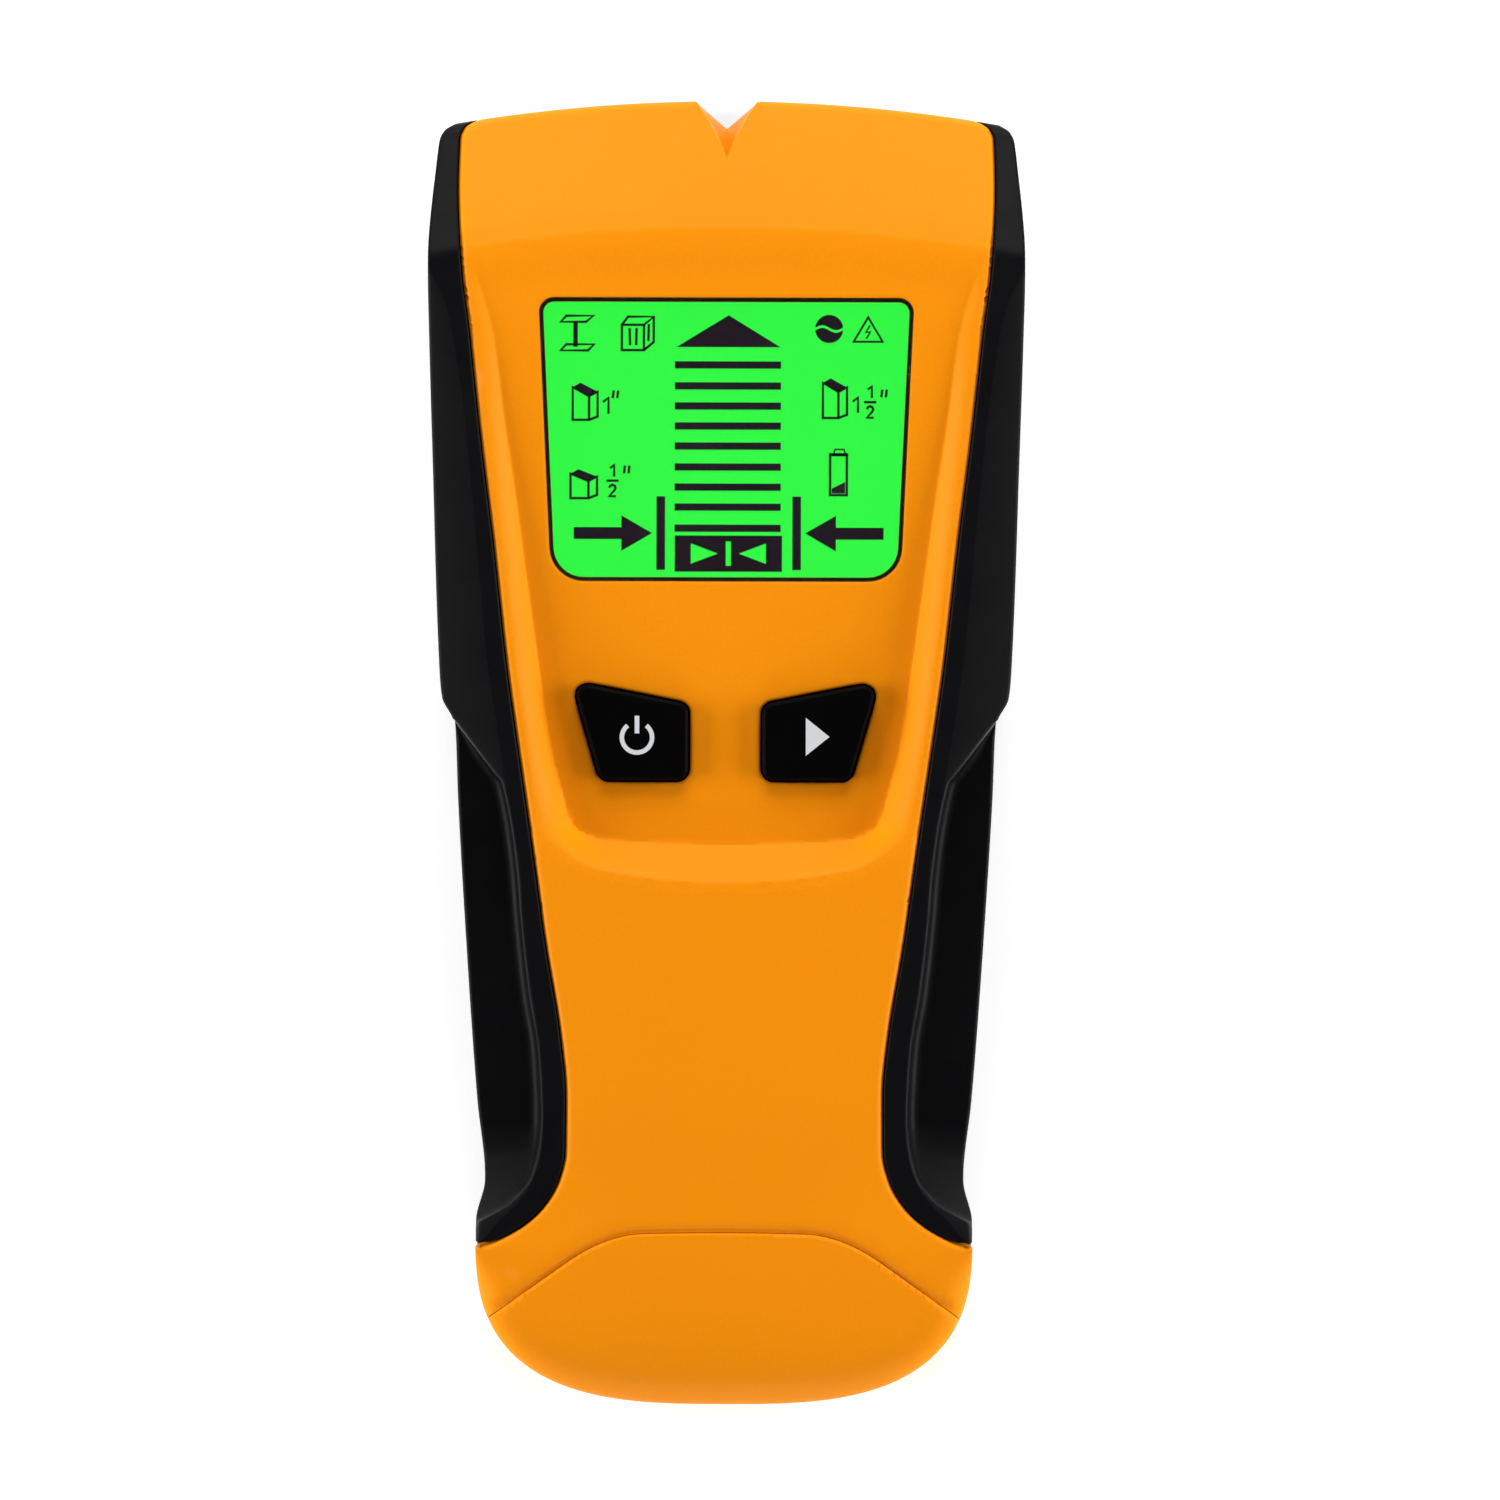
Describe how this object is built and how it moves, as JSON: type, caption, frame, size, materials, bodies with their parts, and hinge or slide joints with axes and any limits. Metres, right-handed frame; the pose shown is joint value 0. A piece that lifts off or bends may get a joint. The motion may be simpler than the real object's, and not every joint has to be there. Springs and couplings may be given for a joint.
{
  "type": "stud finder",
  "caption": "Hand-held electronic stud finder with a display, keys, rubber side grips, a marking notch and a battery cap.",
  "frame": {"origin": "middle of the footprint on the plane that the glide pads rest on", "axes": "+Z out of the display face, +Y towards the marking notch, +X to the right seen from the display side"},
  "size_m": [0.0732, 0.1599, 0.0293],
  "materials": {
    "orange_plastic": "fine spark texture",
    "black_plastic": "fine texture",
    "grip_rubber": "satin",
    "key_rubber": "satin",
    "window": "clear and glossy over a lit green screen",
    "screen": "lit from behind",
    "white_plastic": "matte",
    "circuit_board": "solder mask",
    "component_black": "moulded epoxy",
    "tinned_metal": "tinned",
    "screw_steel": "zinc plated",
    "copper": "enamelled",
    "battery_wrap": "satin wrap",
    "lead_red": "smooth",
    "lead_black": "smooth",
    "foam": "open cell",
    "felt": "pressed felt",
    "label": "blank film"
  },
  "bodies": {
    "case": {"front_shell": "orange_plastic", "rear_shell": "black_plastic", "grip_left": "grip_rubber", "grip_right": "grip_rubber", "display_window": "window", "lcd_panel": "screen", "lcd_frame": "component_black", "backlight_plate": "white_plastic", "backlight_led_left": "white_plastic", "backlight_led_right": "white_plastic", "lcd_connector_upper": "component_black", "lcd_connector_lower": "component_black", "power_switch_body": "component_black", "mode_switch_body": "component_black", "main_board": "circuit_board", "controller_chip": "component_black", "crystal": "tinned_metal", "capacitor": "component_black", "trimmer": "white_plastic", "sensor_board": "circuit_board", "sensor_plate_left": "copper", "sensor_plate_centre": "copper", "sensor_plate_right": "copper", "sensor_chip": "component_black", "coil_bobbin": "white_plastic", "search_coil": "copper", "board_link": "component_black", "buzzer": "component_black", "battery_case": "battery_wrap", "battery_stud": "tinned_metal", "battery_socket": "tinned_metal", "snap_plate": "component_black", "snap_stud_contact": "tinned_metal", "snap_socket_contact": "tinned_metal", "battery_foam": "foam", "red_lead": "lead_red", "black_lead": "lead_black", "case_screw_1": "screw_steel", "case_screw_2": "screw_steel", "case_screw_3": "screw_steel", "case_screw_4": "screw_steel", "board_screw_1": "screw_steel", "board_screw_2": "screw_steel", "board_screw_3": "screw_steel", "board_screw_4": "screw_steel", "glide_pad_1": "felt", "glide_pad_2": "felt", "glide_pad_3": "felt", "glide_pad_4": "felt", "rear_label": "label"},
    "power_key": {"power_button": "key_rubber", "power_switch_plunger": "white_plastic"},
    "mode_key": {"mode_button": "key_rubber", "mode_switch_plunger": "white_plastic"},
    "end_cap": {"battery_cap": "orange_plastic"}
  },
  "joints": [
    {"name": "power_key_press", "type": "slide", "parent": "case", "child": "power_key", "axis": [0, 0, -1], "range_m": [0, 0.0008], "stiffness_N_per_m": 2500, "springref_m": -0.0004},
    {"name": "mode_key_press", "type": "slide", "parent": "case", "child": "mode_key", "axis": [0, 0, -1], "range_m": [0, 0.0008], "stiffness_N_per_m": 2500, "springref_m": -0.0004},
    {"name": "cap_slide", "type": "slide", "parent": "case", "child": "end_cap", "axis": [0, -1, 0], "range_m": [0, 0.04]}
  ]
}
